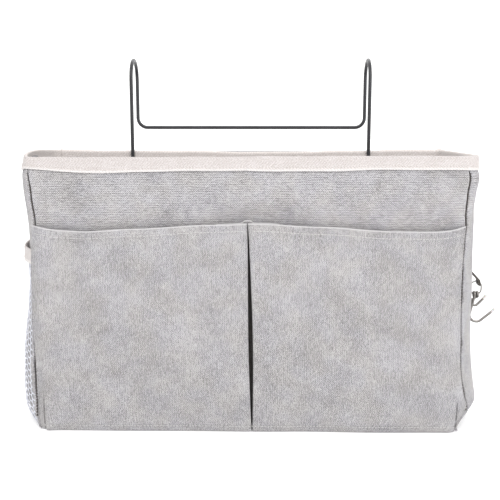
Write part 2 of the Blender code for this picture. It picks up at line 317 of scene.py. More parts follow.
class Nodes:
    """Short calls for building a material's nodes."""

    def __init__(self, name, roughness, **constants):
        self.material = bpy.data.materials.new(name)
        self.material.use_nodes = True
        self.tree = self.material.node_tree
        self.shader = self.tree.nodes["Principled BSDF"]
        self.shader.inputs["Roughness"].default_value = roughness
        for socket, value in constants.items():
            self.shader.inputs[socket.replace("_", " ")].default_value = value

    def link(self, value, socket):
        if isinstance(value, bpy.types.NodeSocket):
            self.tree.links.new(value, socket)
        else:
            socket.default_value = value

    def node(self, kind, *values):
        """A new node, with values or other nodes' outputs on its first inputs."""
        node = self.tree.nodes.new(f"ShaderNode{kind}")
        for value, socket in zip(values, node.inputs):
            self.link(value, socket)
        return node

    def math(self, operation, *values):
        node = self.node("Math", *values)
        node.operation = operation
        return node.outputs[0]

    def times(self, first, second):
        return self.math("MULTIPLY", first, second)

    def plus(self, first, second):
        return self.math("ADD", first, second)

    def sway(self, noise, size, tone):
        """A tone, with a noise's wander about its middle added."""
        return self.math("MULTIPLY_ADD", self.math("SUBTRACT", noise, 0.5), size, tone)

    def ripple(self, place, pitch):
        return self.math("SINE", self.times(place, 2 * math.pi / pitch))

    def split(self, vector):
        return self.node("SeparateXYZ", vector).outputs

    def cloth_place(self):
        """The cloth's own coordinates in millimetres, as separate u and v."""
        uv = self.node("UVMap")
        uv.uv_map = "cloth"
        place = self.split(uv.outputs[0])
        return self.times(place[0], 1000), self.times(place[1], 1000)

    def coordinates(self, kind="Object"):
        return self.node("TexCoord").outputs[kind]

    def join(self, x, y, z=0.0):
        return self.node("CombineXYZ", x, y, z).outputs[0]

    def noise(self, place, scale, detail=2.0, roughness=0.5):
        node = self.node("TexNoise", place)
        for name, value in (("Scale", scale), ("Detail", detail), ("Roughness", roughness)):
            node.inputs[name].default_value = value
        return node.outputs["Fac"]

    def spread(self, value, low, high, to_low=0.0, to_high=1.0):
        """value's place between low and high, as a number from to_low to to_high."""
        return self.node("MapRange", value, low, high, to_low, to_high).outputs[0]

    def mix(self, share, first, second, blend="MIX"):
        node = self.node("Mix")
        node.data_type = "RGBA"
        node.blend_type = blend
        self.link(share, node.inputs["Factor"])
        for value, socket in ((first, node.inputs[6]), (second, node.inputs[7])):
            self.link(value, socket)
        return node.outputs[2]

    def bump(self, height, distance, strength=1.0):
        node = self.node("Bump")
        node.inputs["Strength"].default_value = strength
        node.inputs["Distance"].default_value = distance
        self.link(height, node.inputs["Height"])
        self.tree.links.new(node.outputs[0], self.shader.inputs["Normal"])

    def colour(self, value):
        self.link(value, self.shader.inputs["Base Color"])

    def two_tone(self, value, low, high, dark, light):
        """Colours the whole from dark to light as value goes from low to high."""
        self.colour(self.mix(self.spread(value, low, high), rgb(*dark), rgb(*light)))

    def rough(self, value):
        self.link(value, self.shader.inputs["Roughness"])


def rgb(red, green, blue):
    return (red, green, blue, 1.0)


def canvas_material(name, dark, light, across_pitch, up_pitch, contrast, turned=False, hem_line=0.0):
    """Cotton and linen plain weave with uneven threads both ways, the filling threads the stronger.

    dark and light are its colours between the threads and on them, and the pitches are of its threads in
    millimetres, across and up the cloth. hem_line is how far up it, in millimetres, a painted highlight lies
    along the hem's top edge, and such a cloth has painted shade, a near-black brown, inside its pleat, where u
    is 0.
    """
    n = Nodes(name, 0.93, Sheen_Weight=0.10, Sheen_Roughness=0.5, Specular_IOR_Level=0.22)
    u, v = n.cloth_place()
    long, short = (v, u) if turned else (u, v)
    bend = n.times(n.noise(n.join(u, v), 0.16, 1.0), 1.1)
    stray = n.times(n.noise(n.join(u, v, 6.0), 0.40, 1.0), 3.0) if turned else bend
    across = n.ripple(n.plus(u, stray), across_pitch)
    up = n.ripple(n.plus(v, bend), up_pitch)
    filling = n.noise(n.join(n.times(long, 0.16), n.times(short, 0.95)), 1.0, 1.0, 0.6)
    slub = n.noise(n.join(n.times(long, 0.05), n.times(short, 0.55), 3.1), 1.0, 1.0)
    fleck = n.noise(n.join(u, v, 9.0), 1.5, 1.0, 0.6)
    patch = n.noise(n.join(u, v, 5.7), 0.035, 3.0, 0.6)
    tint = n.noise(n.join(u, v, 2.2), 0.045, 1.0)

    ribs = n.times(across, 0.30) if turned else n.times(up, 0.36)
    ribs = n.math("MULTIPLY_ADD", n.times(across, up), 0.92, ribs)
    tone = n.math("MULTIPLY_ADD", ribs, 0.38 * contrast, 0.5)
    tone = n.sway(fleck, 1.7 * contrast, tone)
    tone = n.sway(filling, 0.70 * contrast, tone)
    tone = n.math("MULTIPLY_ADD", n.spread(slub, 0.60, 0.75), 0.08, tone)
    tone = n.sway(patch, 0.80, tone)
    base = n.mix(tone, rgb(*dark), rgb(*light))
    warm = n.mix(1.0, base, rgb(1.008, 0.998, 0.985), "MULTIPLY")
    cool = n.mix(1.0, base, rgb(0.995, 0.995, 1.022), "MULTIPLY")
    base = n.mix(n.spread(tint, 0.38, 0.62), warm, cool)
    if hem_line:
        # Painted highlight: a pale line along the hem's top edge, where the folded edge catches light
        lip = n.times(n.spread(v, hem_line - 1.3, hem_line - 0.5), 0.75)
        base = n.mix(lip, base, rgb(*(c * 1.22 for c in light)))
        # Painted shade: the cloth at the back of the pleat, seen through the gap below the hem, is coloured
        # near-black brown
        behind = n.spread(n.math("ABSOLUTE", u), 20.0, 24.0, 0.85, 0.0)
        behind = n.times(behind, n.spread(v, hem_line - 14.0, hem_line - 7.0, 1.0, 0.0))
        base = n.mix(behind, base, rgb(0.030, 0.024, 0.020))
    n.colour(base)
    height = n.math("MULTIPLY_ADD", ribs, 0.6, n.times(filling, 1.1))
    n.bump(n.plus(height, n.times(fleck, 1.0)), 0.00030, 0.8)
    return n.material


def tape_material():
    """Cream herringbone cotton tape, with painted light on its inner half and a painted highlight along its
    free edges.

    Its spine lies along the fold. v is the distance from the spine, below 0 on the inner half.
    """
    n = Nodes("herringbone_tape", 0.9, Sheen_Weight=0.15, Sheen_Roughness=0.5, Specular_IOR_Level=0.25)
    u, v = n.cloth_place()
    from_spine = n.math("ABSOLUTE", v)
    zigzag = n.math("PINGPONG", n.plus(v, 3.4), 6.6)
    slant = n.math("SUBTRACT", n.times(u, 0.62), n.times(zigzag, 0.60))
    wobble = n.noise(n.join(u, v), 0.35, 1.0)
    rib = n.ripple(n.plus(slant, n.times(wobble, 1.1)), 1.65)
    thread = n.ripple(u, 0.8)
    fluff = n.noise(n.join(u, v), 0.7, 3.0, 0.6)
    wide = n.noise(n.join(u, v, 4.0), 0.12, 1.0)
    tone = n.math("MULTIPLY_ADD", rib, 0.16, n.math("MULTIPLY_ADD", thread, 0.06, 0.52))
    tone = n.sway(wide, 0.4, n.sway(fluff, 1.8, tone))
    base = n.mix(tone, rgb(0.43, 0.387, 0.368), rgb(0.60, 0.567, 0.562))
    # Painted light: the inner half is made lighter, to offset the shade inside the mouth
    inner = n.mix(1.0, base, rgb(1.22, 1.21, 1.19), "MULTIPLY")
    base = n.mix(n.spread(v, -0.5, 0.5, 1.0, 0.0), base, inner)
    # Painted highlight: a pale band along the tape's free edges
    edge = n.spread(from_spine, 11.2, 12.2)
    n.colour(n.mix(n.times(edge, 0.7), base, rgb(0.68, 0.655, 0.645)))
    n.bump(n.plus(rib, n.times(fluff, 1.2)), 0.00022, 0.7)
    return n.material


def grained(name, roughness, grain, dark, light, bump=None, uneven=None, **constants):
    """A material whose colour runs from dark to light with one noise.

    grain is the noise's scale, detail and roughness, bump its relief and the relief's strength, and uneven the
    range of the surface's own roughness, where the noise sways that too.
    """
    n = Nodes(name, roughness, **constants)
    cloud = n.noise(n.coordinates(), *grain)
    n.two_tone(cloud, 0.3, 0.7, dark, light)
    if bump:
        n.bump(cloud, *bump)
    if uneven:
        n.rough(n.spread(cloud, 0.3, 0.7, *uneven))
    return n.material


def wire_material():
    """Black powder coat on steel wire."""
    n = Nodes("black_coated_wire", 0.34, Specular_IOR_Level=0.5, Coat_Weight=0.15, Coat_Roughness=0.25)
    place = n.coordinates()
    peel = n.noise(place, 900.0, 3.0, 0.6)
    worn = n.noise(place, 60.0, 2.0)
    n.two_tone(worn, 0.3, 0.75, (0.010, 0.010, 0.012), (0.022, 0.022, 0.027))
    n.rough(n.spread(peel, 0.3, 0.7, 0.28, 0.42))
    n.bump(peel, 0.0001, 0.25)
    return n.material


def nickel_material():
    """Old nickel plate, with painted light: lighter on top and darker underneath, by which way the surface
    faces.
    """
    n = Nodes("nickel_wire", 0.36, Metallic=0.85, Specular_Tint=(0.35, 0.34, 0.33, 1.0))
    place = n.coordinates()
    smear_and_shading_noise = n.noise(place, 420.0, 3.0, 0.6)
    # Painted light: the colour runs from a dark underside to a light top by the normal's height, swayed by a
    # noise that also varies the roughness
    facing_up = n.split(n.coordinates("Normal"))[2]
    top = n.sway(smear_and_shading_noise, 0.5, n.spread(facing_up, -0.7, 0.9))
    n.colour(n.mix(top, rgb(0.075, 0.068, 0.062), rgb(0.42, 0.40, 0.38)))
    n.rough(n.spread(smear_and_shading_noise, 0.3, 0.7, 0.30, 0.46))
    return n.material


def webbing_material():
    """Dark brown webbing with ribs across its width."""
    n = Nodes("dark_webbing", 0.8, Sheen_Weight=0.1)
    u, v = n.cloth_place()
    rib = n.ripple(v, 0.9)
    fuzz = n.noise(n.join(u, v), 1.6, 3.0, 0.6)
    tone = n.math("MULTIPLY_ADD", rib, 0.25, fuzz)
    n.two_tone(tone, 0.2, 0.9, (0.045, 0.038, 0.033), (0.16, 0.14, 0.12))
    n.bump(n.plus(rib, fuzz), 0.0002, 0.8)
    return n.material


def thread_material(name, dark, light):
    return grained(name, 0.6, (3000.0, 1.0), dark, light, Sheen_Weight=0.1)


# How far up the front pockets' cloth its hem's edge lies, in millimetres
HEM_UV = 193.0
CANVAS = canvas_material("grey_canvas", (0.17, 0.166, 0.168), (0.515, 0.502, 0.509), 1.93, 2.1, 1.3)
# The turned canvas carries the painted highlight on the hem's top edge and the painted shade inside the pleat
CANVAS_TURNED = canvas_material(
    "grey_canvas_turned", (0.18, 0.176, 0.177), (0.49, 0.479, 0.484), 1.93, 1.88, 1.2, True, HEM_UV
)
TAPE = tape_material()
NET = grained("white_net", 0.55, (2600.0, 2.0), (0.56, 0.57, 0.63), (0.72, 0.73, 0.80), (0.0002, 0.5),
              Sheen_Weight=0.1)
WIRE = wire_material()
NICKEL = nickel_material()
TIP = grained("moulded_tip", 0.16, (700.0, 2.0), (0.56, 0.57, 0.58), (0.72, 0.72, 0.73), uneven=(0.1, 0.22),
              Transmission_Weight=0.10, IOR=1.47, Subsurface_Weight=0.2)
WEBBING = webbing_material()
GREY_THREAD = thread_material("grey_thread", (0.42, 0.41, 0.41), (0.60, 0.585, 0.58))
# Near-black thread for the front seams: real stitches, whose colour paints the shade in the seam grooves
SEAM_SHADE_THREAD = thread_material("seam_shade_thread", (0.025, 0.020, 0.017), (0.075, 0.060, 0.050))
CREAM_THREAD = thread_material("cream_thread", (0.55, 0.50, 0.47), (0.72, 0.69, 0.67))
BOARD = grained("stiffener_board", 0.75, (180.0, 4.0, 0.65), (0.66, 0.63, 0.56), (0.80, 0.77, 0.70),
                (0.0002, 0.4))


# ---- the pouch


def canvas_piece(
    node, points, uv, thickness=CLOTH, cloth=CANVAS, flip=False
):
    """A canvas sheet that moves with the pouch, in place of a node of the plain model."""
    piece = shell(f"{node}_cloth", points, thickness, uv, cloth, flip=flip)
    seat(piece, "pouch", node)


def levelled(line, level):
    """A row of a grid: a line seen from above, at one height."""
    return np.column_stack([line, np.full(len(line), level)])


# Half the front's width at the seam between it and an end panel, by height
FRONT_SEAM = {
    "left": [(0, 0.194), (0.010, 0.1955), (0.10, 0.1965), (0.162, 0.1945), (0.191, 0.1922),
             (0.229, 0.1957), (0.243, 0.1975), (0.256, 0.1975)],
    "right": [(0, 0.19), (0.0085, 0.194), (0.0175, 0.1997), (0.022, 0.2018), (0.033, 0.1996),
              (0.05, 0.1962), (0.093, 0.1937), (0.181, 0.1936), (0.221, 0.1952), (0.234, 0.1963),
              (0.243, 0.1953), (0.256, 0.195)],
}
# The same for the pockets' cloth
POCKET_EDGE = {
    "left": [(0, 0.1955), (0.01, 0.1973), (0.025, 0.1972), (0.044, 0.1965), (0.0965, 0.1974),
             (0.134, 0.1975), (0.162, 0.1962), (0.196, 0.1947)],
    "right": [(0, 0.191), (0.0085, 0.1952), (0.0175, 0.2012), (0.022, 0.2028), (0.033, 0.1998),
              (0.05, 0.1962), (0.093, 0.1936), (0.181, 0.1934), (0.196, 0.1943)],
}
# How far each end bellies out midway between front and back, by height
FULLEST = {
    "left": [(0, 0.0244), (0.035, 0.0242), (0.069, 0.0226), (0.087, 0.0203), (0.114, 0.0158),
             (0.14, 0.0136), (0.175, 0.015), (0.2, 0.0172), (0.225, 0.0188), (0.256, 0.0185)],
    "right": [(0, 0.0232), (0.0155, 0.0232), (0.036, 0.0228), (0.066, 0.021), (0.106, 0.0196),
              (0.164, 0.0188), (0.193, 0.0168), (0.256, 0.0168)],
}


def belly(side, y, z):
    """How far an end panel stands out beyond its seams, without the curl at its foot.

    It is a plain curve between the seams, except near the mouth, where the tape squares its front corner.
    """
    s = np.clip(y / SEAM_HALF, -1.0, 1.0)
    low = through(z, FULLEST[side]) * (1 - s * s)
    if side == "left":
        top, squared, wave = 0.0118 * (1 - s * s), ramp(z, 0.232, 0.256), 0.0
    else:
        top, squared = (0.0098 - 0.0126 * (s + 0.9) / 1.9) * (1 - s**20), ramp(z, 0.190, 0.238)
        wave = (0.0020 * hump(z, 0.2125, 0.012) - 0.0008 * hump(z, 0.238, 0.006)) * (1 - s**6)
    return low * (1 - squared) + top * squared + wave


def seam_base(side, y, z):
    """Half the pouch's width where an end panel starts: its front seam's, easing to plain behind."""
    front_share = 1 - ramp(2 * y / DEPTH, -1.0, 0.2)
    return SIDE + (through(z, FRONT_SEAM[side]) - SIDE) * front_share


def seam_drift(side, z):
    """How far a front seam wanders from its line, along X."""
    seed = {"left": 1.3, "right": 4.1}[side]
    return (0.0003 * np.sin(z * 120 + seed) + 0.0002 * np.sin(z * 290 + 2 * seed)) * ramp(z, 0.0, 0.03)


def seam_depth(z):
    """How far a front seam's turned-in edges reach inside: they are trimmed where the tape covers them."""
    return SEAM_DEEP * (1 - 0.80 * ramp(z, TAPE_FOOT - 0.006, TAPE_FOOT + 0.006))


def front_panel():
    """Canvas front: flat, with its side edges rolled back into the seams, and soft waves."""
    rows, columns, roll_steps = 96, 150, 6
    z = np.linspace(FRONT_LOW[2], WALL_TOP, rows)
    xs = np.linspace(-1, 1, columns)
    shut = SEAM_ROLL + SLIT / 2
    grid = []
    for level in z:
        left = -through(level, FRONT_SEAM["left"]) + SLIT / 2 + SEAM_ROLL - seam_drift("left", level)
        right = through(level, FRONT_SEAM["right"]) - SLIT / 2 - SEAM_ROLL + seam_drift("right", level)
        x = left + (right - left) * (xs + 1) / 2
        middle = np.cos(xs * math.pi / 2) ** 0.6
        puff = -0.0012 * middle * ramp(level, 0.0, 0.05)
        ripple = 0.0008 * waves(x, level, 3, 0.11) * middle
        hollow = 0.0034 * hump(x, 0.012, 0.065) * hump(level, 0.198, 0.017)
        hollow = hollow + 0.0070 * hump(x, 0.002, 0.022) * (1 - ramp(level, 0.175, 0.200))
        tuck = -0.0016 * hump(x, 0.1195, 0.0030) * hump(level, TAPE_FOOT - 0.006, 0.010)
        dent = 0.0014 * hump(x, 0.111, 0.008) * hump(level, TAPE_FOOT - 0.008, 0.014)
        free = 1 - ramp(level, TAPE_FOOT - 0.010, TAPE_FOOT + 0.001)
        held = ramp(level, TAPE_FOOT - 0.004, TAPE_FOOT + 0.001)
        shape = (puff + ripple + hollow) * free + (tuck + dent) * (1 - held) + 0.0004 * held
        flat = joined(x, FRONT + shape)
        edge = FRONT + SEAM_ROLL + 0.0004 * held
        start = arc((left, edge), SEAM_ROLL, 180, 270, roll_steps)
        end = arc((right, edge), SEAM_ROLL, -90, 0, roll_steps)
        deep = seam_depth(level)
        deep_left = [(left - shut, edge + deep), (left - SEAM_ROLL, edge + deep / 2)]
        deep_right = [(right + SEAM_ROLL, edge + deep / 2), (right + shut, edge + deep)]
        line = np.concatenate([deep_left, start[:-1], flat, end[1:], deep_right])
        grid.append(levelled(line, level))
    points = np.array(grid)
    along = lengths_along(points[rows // 2])
    canvas_piece("front_panel", points, cloth_uv(along, z))

    # The front seams' stitches are near-black and thick, and so paint the shade in the seam grooves
    seams = (("left", -1, 0.20, 0.230), ("right", 1, 0.020, TAPE_FOOT - 0.001))
    for side, sign, lowest, highest in seams:
        z = np.linspace(lowest, highest, 160)
        x = sign * (through(z, FRONT_SEAM[side]) + seam_drift(side, z))
        line = joined(x, FRONT + 0.0009, z)
        stitches(f"{side}_seam_stitching", line, FORWARD, SEAM_SHADE_THREAD, radius=0.00075)
    # Near-black, thick stitches along the net pocket's seam paint the shade between the pocket's edge and the
    # net
    z = np.linspace(0.012, 0.072, 80)
    x = -through(z, POCKET_EDGE["left"]) - 0.0002
    line = joined(x, FRONT - 0.0004, z)
    stitches("net_seam_stitching", line, FORWARD, SEAM_SHADE_THREAD, radius=0.00080)


def back_panel():
    """Canvas back: flat, with its side edges rolled forward into the seams."""
    rows, columns, roll_steps = 60, 120, 5
    z = np.linspace(BACK_LOW[2], WALL_TOP, rows)
    edge = BACK - SEAM_ROLL
    deep = edge - SEAM_DEEP * 0.35
    reach = SIDE - SLIT / 2 - SEAM_ROLL
    x = reach * np.linspace(1, -1, columns)
    start = arc((reach, edge), SEAM_ROLL, 0, 90, roll_steps)
    end = arc((-reach, edge), SEAM_ROLL, 90, 180, roll_steps)
    grid = []
    for level in z:
        flat = joined(x, BACK + 0.0004 * waves(x, level, 9, 0.16))
        line = np.concatenate([[(SIDE, deep)], start[:-1], flat, end[1:], [(-SIDE, deep)]])
        grid.append(levelled(line, level))
    points = np.array(grid)
    along = lengths_along(points[rows // 2])
    canvas_piece("back_panel", points, cloth_uv(along + 0.5, z))


def gusset(side):
    """One bellied end: its front and back edges roll into the seams and its foot curls under the pouch."""
    sign = 1 if side == "right" else -1
    curl = FOOT_CURL[side]
    curl_rows, wall_rows, columns = 12, 80, 50
    foot = FRONT_LOW[2]
    turns = np.linspace(0, math.pi / 2, curl_rows)
    straight = np.linspace(foot + curl, WALL_TOP, wall_rows + 1)[1:]
    z = np.concatenate([foot + curl * (1 - np.cos(turns)), straight])
    inner = SEAM_HALF
    ys = inner * np.sin(np.linspace(-1, 1, columns) * math.pi / 2)
    seed = 21 if side == "right" else 22
    grid = []
    for level in z:
        drift = seam_drift(side, level) * (1 - ramp(ys, -inner, -inner + 0.03))
        reach = curl * (1.0 if side == "right" else 0.5 + 0.5 * (1 - (ys / inner) ** 2))
        curled = np.sqrt(1 - (1 - np.clip((level - foot) / reach, 0, 1)) ** 2)
        x = seam_base(side, ys, level) + SLIT / 2 + belly(side, ys, level) * curled + drift
        x = x - 0.0018 * (1 - curled) * (1 - (ys / inner) ** 8)
        fade = (1 - (ys / inner) ** 2) * ramp(level, 0.01, 0.05) * (1 - ramp(level, 0.225, 0.24))
        x = x + 0.0011 * fade * waves(ys, level, seed, 0.07)
        held = float(ramp(level, TAPE_FOOT - 0.002, TAPE_FOOT + 0.004))
        x = x - held * (0.0006 + 0.0016 * hump(ys, -inner, 0.008) + 0.0010 * hump(ys, inner, 0.008))
        base_front, base_back = x[0], x[-1]
        flat = joined(x, ys)
        deep = seam_depth(level)
        first = [(base_front - SLIT / 2, -inner + deep), (base_front, -inner + deep / 2)]
        start = arc((base_front + SEAM_ROLL, -inner), SEAM_ROLL, 180, 320, 7)
        end = arc((base_back + SEAM_ROLL, inner), SEAM_ROLL, 40, 180, 7)
        last = [(base_back, inner), (base_back - SLIT / 2, inner - SEAM_DEEP * 0.4)]
        flat[:, 0] += (start[-1][0] - flat[0, 0]) * np.exp(-((ys - ys[0]) / 0.006))
        flat[:, 0] += (end[0][0] - flat[-1, 0]) * np.exp(-((ys[-1] - ys) / 0.006))
        line = np.concatenate([first, start, flat[2:-2], end, last])
        grid.append(levelled(line * (sign, 1), level))
    points = np.array(grid)
    along = lengths_along(points[len(z) // 2])
    height = lengths_along(points[:, points.shape[1] // 2])
    uv = cloth_uv(along + 0.2 * sign, height)
    thick = CLOTH - 0.0006 * ramp(points[..., 2], TAPE_FOOT - 0.002, TAPE_FOOT + 0.004)
    flat = (along[-1], height[-1])
    canvas_piece(f"{side}_gusset", points, uv, thickness=thick, flip=side == "left")


def flat_cloth(node, low, high, thickness, droop=0.0):
    """A level piece of canvas between two corners, its outer face up."""
    x, y = np.meshgrid(np.linspace(low[0], high[0], 90), np.linspace(low[1], high[1], 30))
    edge = (1 - (x / high[0]) ** 8) * (1 - (2 * (y - (low[1] + high[1]) / 2) / (high[1] - low[1])) ** 8)
    z = high[2] + droop * waves(x, y, 31, 0.09) * edge
    uv = joined(x, y) + 1.0
    points, flat = joined(x, y, z), (high[0] - low[0], high[1] - low[1])
    canvas_piece(node, points, uv, thickness)


def bottom_panel():
    low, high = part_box("bottom_panel")
    flat_cloth("bottom_panel", low, high, high[2] - low[2])


def linings():
    """The thin cloths inside, over the base and over the back."""
    flat_cloth("bottom_lining", FLOOR_LOW, FLOOR_HIGH, LINING, droop=0.0002)
    rows, columns = 56, 110
    zs = np.linspace(LINING_LOW[2], LINING_HIGH[2], rows)
    xs = np.linspace(LINING_LOW[0], LINING_HIGH[0], columns)
    x, z = np.meshgrid(xs, zs)
    edge = (1 - (x / SIDE) ** 6) * ramp(z, LINING_LOW[2], LINING_LOW[2] + 0.03)
    y = LINING_LOW[1] + 0.0003 + 0.0003 * waves(x, z, 41, 0.08) * edge
    uv = joined(x + 2.0, z)
    points, flat = joined(x, y, z), (xs[-1] - xs[0], zs[-1] - zs[0])
    canvas_piece("back_lining", points, uv, thickness=LINING)


# ---- the binding round the mouth


def mouth_path(count=640):
    """The line that the binding follows, once round: place, outward direction and the rim's thickness."""
    ys = np.linspace(FRONT, BACK, 90)
    ends = {}
    for side in ("left", "right"):
        ends[side] = seam_base(side, ys, TOP) + SLIT / 2 + 0.0003 + belly(side, ys, TOP)
    right, left = joined(ends["right"], ys), joined(-ends["left"], ys)[::-1]
    front = joined(np.linspace(left[-1, 0], right[0, 0], 120), FRONT)
    back = joined(np.linspace(right[-1, 0], left[0, 0], 120), BACK)
    loop = np.concatenate([front[:-1], right[:-1], back[:-1], left[:-1]])
    loop = np.roll(loop, -60, axis=0)
    ring = spaced(np.concatenate([loop, loop[:1]]), count + 1)[:-1]
    for _ in range(3):
        ring = (np.roll(ring, 1, axis=0) + 2 * ring + np.roll(ring, -1, axis=0)) / 4
    ahead = np.roll(ring, -1, axis=0) - np.roll(ring, 1, axis=0)
    ahead /= np.linalg.norm(ahead, axis=1, keepdims=True)
    outward = joined(ahead[:, 1], -ahead[:, 0])
    at_back = ramp(ring[:, 1], BACK - 0.012, BACK - 0.003)
    thick = 0.0018 + (BACK - LINING_LOW[1]) * at_back
    return ring, outward, thick


RING, RING_OUT, RING_THICK = mouth_path()


def rim_rise():
    """How the mouth's height wanders round the rim, from the model's height."""
    x, y = RING[:, 0], RING[:, 1]
    front = through(x, [(-0.2, -0.0009), (-0.087, -0.0008), (0, -0.0003), (0.081, 0.0002), (0.2, 0.0006)])
    back = through(x, [(-0.2, 0.0004), (-0.133, -0.0002), (-0.05, -0.0007), (0, -0.0016), (0.05, -0.0011),
                       (0.152, 0.0005), (0.2, 0.0009)])
    left_end = 0.0026 * ramp(-x, 0.190, 0.206) * hump(y, 0.0, 0.045)
    return front + (back - front) * (y - FRONT) / DEPTH + 0.00015 * np.sin(x * 95) + left_end


def tape_reach():
    """How far the tape's outer half reaches down from the rim's top, all round."""
    x, y = RING[:, 0], RING[:, 1]
    foot = through(x, [(-0.2, 0.244), (-0.169, 0.2414), (-0.15, 0.2402), (-0.1254, 0.2395), (-0.1, 0.2408),
                       (-0.06, 0.2418), (0.081, 0.242), (0.1163, 0.2428), (0.2, 0.243)])
    front = TOP + rim_rise() - foot
    ahead = 1 - ramp(y, FRONT, FRONT + 0.02)
    return TAPE_FOLD + (front - TAPE_FOLD) * ahead


# Points across the folded tape, from its inner edge to its outer, and how many from an edge its stitches lie
TAPE_POINTS = 34
SEWN_AT = 3


def tape_piece(name, node, grid, along, thickness, closed=False):
    """A folded tape over a grid whose columns lie at the given lengths along it."""
    across = from_middle(grid[:, 0])
    piece = shell(name, grid, thickness, cloth_uv(along, across), TAPE, closed=closed, flip=closed)
    seat(piece, "pouch", node)


def tape_section(half, fold, lift):
    """The folded tape seen from its end: out from the rim's middle and up, inner edge first."""
    inner = [(-half - lift, -fold), (-half - 0.0002, -fold * 0.75), (-half, -fold * 0.45), (-half, -0.0028)]
    top = arc((0, 0), 1.0, 180, 0, 10) * (half, 0.0019) + (0, -0.0019)
    outer = [(half, -0.0028), (half, -fold * 0.45), (half + 0.0002, -fold * 0.75), (half + lift, -fold)]
    return spaced(np.concatenate([inner, top, outer]), TAPE_POINTS)


def binding():
    """One herringbone tape folded over the mouth, once round."""
    rise, reach = rim_rise(), tape_reach()
    columns = len(RING)
    turns = np.arange(columns) * 2 * math.pi
    drop = 0.0002 * np.sin(turns / 97) + 0.0002 * np.sin(turns / 41)
    grid = np.zeros((TAPE_POINTS, columns, 3))
    for j in range(columns):
        half = RING_THICK[j] / 2 + 0.0009
        section = tape_section(half, reach[j] + drop[j], 0.0004)
        middle = RING[j] - RING_OUT[j] * (RING_THICK[j] / 2)
        at_left = (RING[j, 0] < -0.19) * (1 - (RING[j, 1] / SEAM_HALF) ** 2)
        lean = -section[:, 1:] / TAPE_FOLD * 0.0042 * at_left
        grid[:, j, :2] = middle + (section[:, :1] + lean) * RING_OUT[j]
        grid[:, j, 2] = TOP + rise[j] + section[:, 1]
    along = lengths_along(np.concatenate([RING, RING[:1]]))
    tape_piece("rim_binding_tape", "rim_binding", grid, along, THIN_CLOTH, closed=True)

    out = np.column_stack([RING_OUT, np.zeros(columns)])
    stitches("rim_stitching", grid[-1 - SEWN_AT] + out * 0.0001, out, CREAM_THREAD)
    stitches("rim_stitching_inner", grid[SEWN_AT], -out, CREAM_THREAD)


# ---- the front pockets


def hem_height(x):
    """The height of the pockets' hem: up at the seams and at the middle, and sagging between."""
    sag = [(0, 0.1957), (0.04, 0.1955), (0.22, 0.194), (0.39, 0.1923), (0.55, 0.1904), (0.7, 0.189),
           (0.8, 0.1888), (0.9, 0.1898), (1, 0.193), (1.06, 0.1932)]
    return through(np.abs(x) / SIDE, sag) + 0.0003 * np.sin(x * 97)


def pleat_centre(z):
    """Where the gap between the two pockets runs."""
    return -0.0012 + 0.0047 * np.clip(1 - z / 0.196, 0, 1) ** 0.55


def pleat_gap(z):
    """How wide the gap is: a slit at the foot and at the hem, and open between."""
    share = np.clip(z / POCKET_TOP, 0, 1)
    return 0.0009 + 0.0031 * np.sin(share**0.85 * math.pi) ** 1.4


def pocket_face(x, z, side):
    """How far the pockets' face stands in front of the front panel."""
    share = np.clip(np.abs(x) / through(z, POCKET_EDGE[side]), 0, 1)
    edge = ramp(1 - share, 0.0, 0.045)
    swell = 0.0018 + 0.0042 * edge
    swell += 0.0006 * np.sin(share * math.pi) * ramp(z, 0.05, 0.15)
    swell += 0.0010 * waves(x, z * 0.8, 51, 0.12) * edge * ramp(1 - share, 0.02, 0.2)
    if side == "left":
        fold_x = -0.172 + 0.235 * (z - 0.10)
        soft = ramp(z, 0.03, 0.06)
        swell += soft * (0.0011 * hump(x, fold_x + 0.010, 0.010) - 0.0012 * hump(x, fold_x - 0.006, 0.008))
    # Near its foot the cloth turns back sharply just short of the seam
    crease = {"left": 0.1888, "right": 0.1915}[side]
    low = 1 - ramp(z, 0.010, 0.050)
    swell -= 0.0030 * low * ramp(np.abs(x), crease - 0.0005, crease + 0.0006)
    swell += 0.0015 * low * hump(np.abs(x), crease - 0.003, 0.004)
    swell -= 0.0022 * low * hump(np.abs(x), crease + 0.0009, 0.0007)
    return swell


